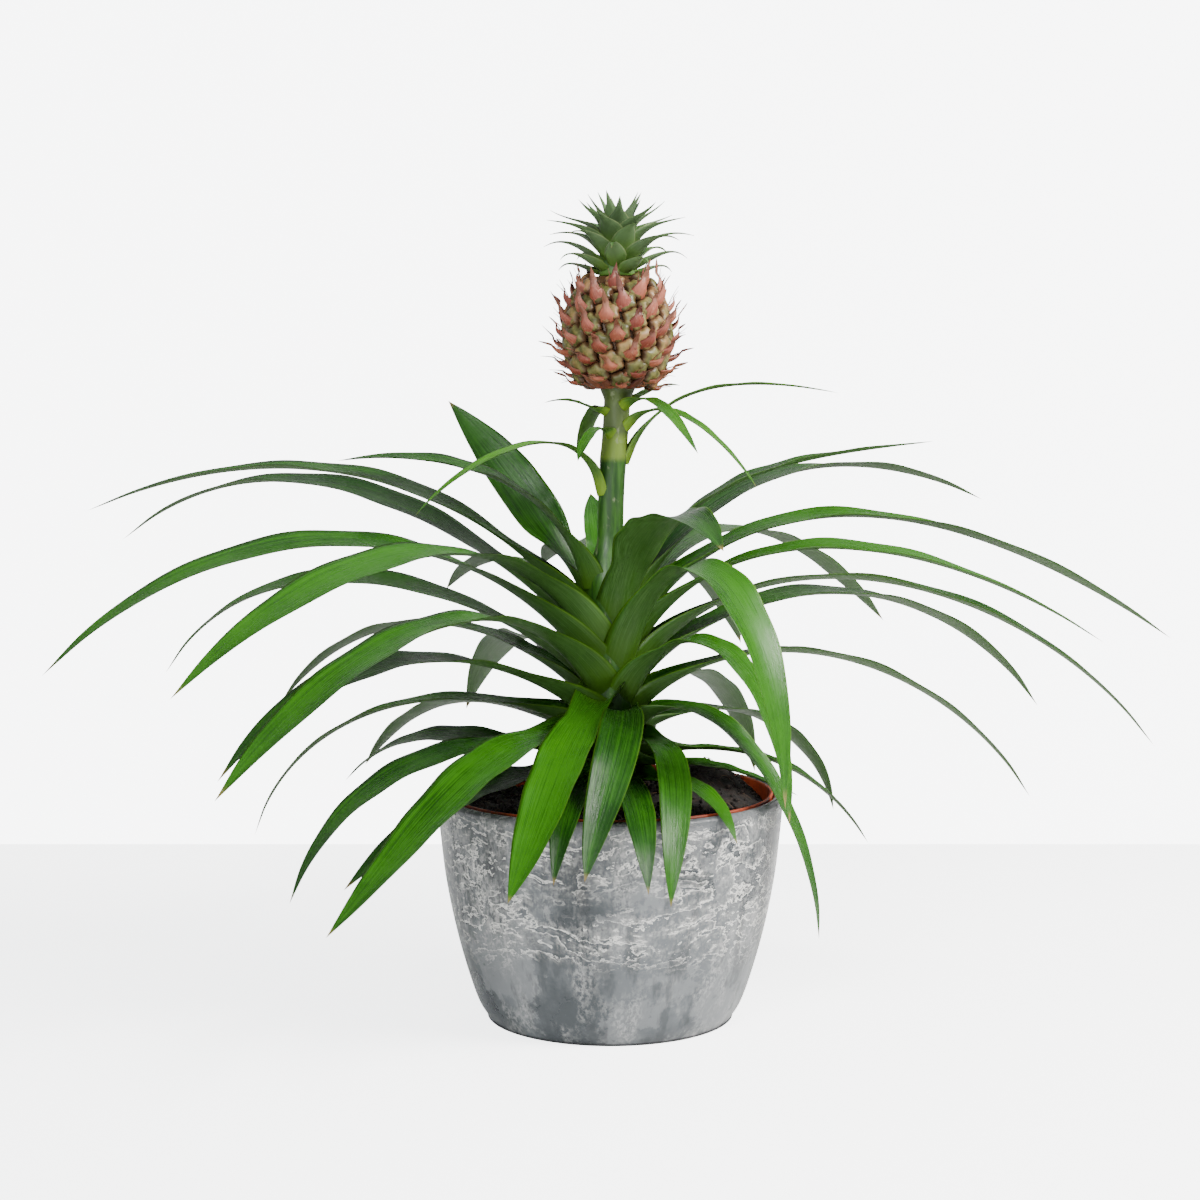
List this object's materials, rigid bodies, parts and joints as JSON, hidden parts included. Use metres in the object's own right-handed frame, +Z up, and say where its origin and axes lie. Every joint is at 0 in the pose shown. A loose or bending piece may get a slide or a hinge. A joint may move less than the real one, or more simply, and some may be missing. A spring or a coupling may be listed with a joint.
{
  "type": "potted pineapple plant",
  "caption": "Miniature pineapple plant with arching strap leaves, a small crowned fruit on a leafy stalk and a blue-grey glazed pot.",
  "frame": {"origin": "centre of the outer pot's flat underside", "axes": "+Z up along the pot's axis, +X towards the plant's right as seen from the front, -Y towards the front"},
  "size_m": [0.5722, 0.4596, 0.4266],
  "materials": {
    "pot_glaze": "satin",
    "nursery_plastic": "matte",
    "peat": "matte",
    "stem_skin": "satin",
    "fruit_skin": "satin",
    "crown_leaf": "matte",
    "leaf_skin": "satin",
    "bract_skin": "satin"
  },
  "bodies": {
    "root": {"outer_pot": "pot_glaze", "nursery_pot": "nursery_plastic", "soil": "peat", "stem": "stem_skin", "fruit": "fruit_skin", "crown": "crown_leaf", "leaf_01": "leaf_skin", "leaf_02": "leaf_skin", "leaf_03": "leaf_skin", "leaf_04": "leaf_skin", "leaf_05": "leaf_skin", "leaf_06": "leaf_skin", "leaf_07": "leaf_skin", "leaf_08": "leaf_skin", "leaf_09": "leaf_skin", "leaf_10": "leaf_skin", "leaf_11": "leaf_skin", "leaf_12": "leaf_skin", "leaf_13": "leaf_skin", "leaf_14": "leaf_skin", "leaf_15": "leaf_skin", "leaf_16": "leaf_skin", "leaf_17": "leaf_skin", "leaf_18": "leaf_skin", "leaf_19": "leaf_skin", "leaf_20": "leaf_skin", "leaf_21": "leaf_skin", "leaf_22": "leaf_skin", "leaf_23": "leaf_skin", "leaf_24": "leaf_skin", "leaf_25": "leaf_skin", "leaf_26": "leaf_skin", "leaf_27": "leaf_skin", "leaf_28": "leaf_skin", "leaf_29": "leaf_skin", "leaf_30": "leaf_skin", "leaf_31": "leaf_skin", "leaf_32": "leaf_skin", "leaf_33": "leaf_skin", "leaf_34": "leaf_skin", "leaf_35": "leaf_skin", "leaf_36": "leaf_skin", "leaf_37": "leaf_skin", "leaf_38": "leaf_skin", "leaf_39": "leaf_skin", "leaf_40": "leaf_skin", "leaf_41": "leaf_skin", "leaf_42": "leaf_skin", "leaf_43": "leaf_skin", "leaf_44": "leaf_skin", "leaf_45": "leaf_skin", "leaf_46": "leaf_skin", "bract_01": "bract_skin", "bract_02": "bract_skin", "bract_03": "bract_skin", "bract_04": "bract_skin", "bract_05": "bract_skin", "bract_06": "bract_skin", "bract_07": "bract_skin", "bract_08": "bract_skin"}
  },
  "joints": []
}
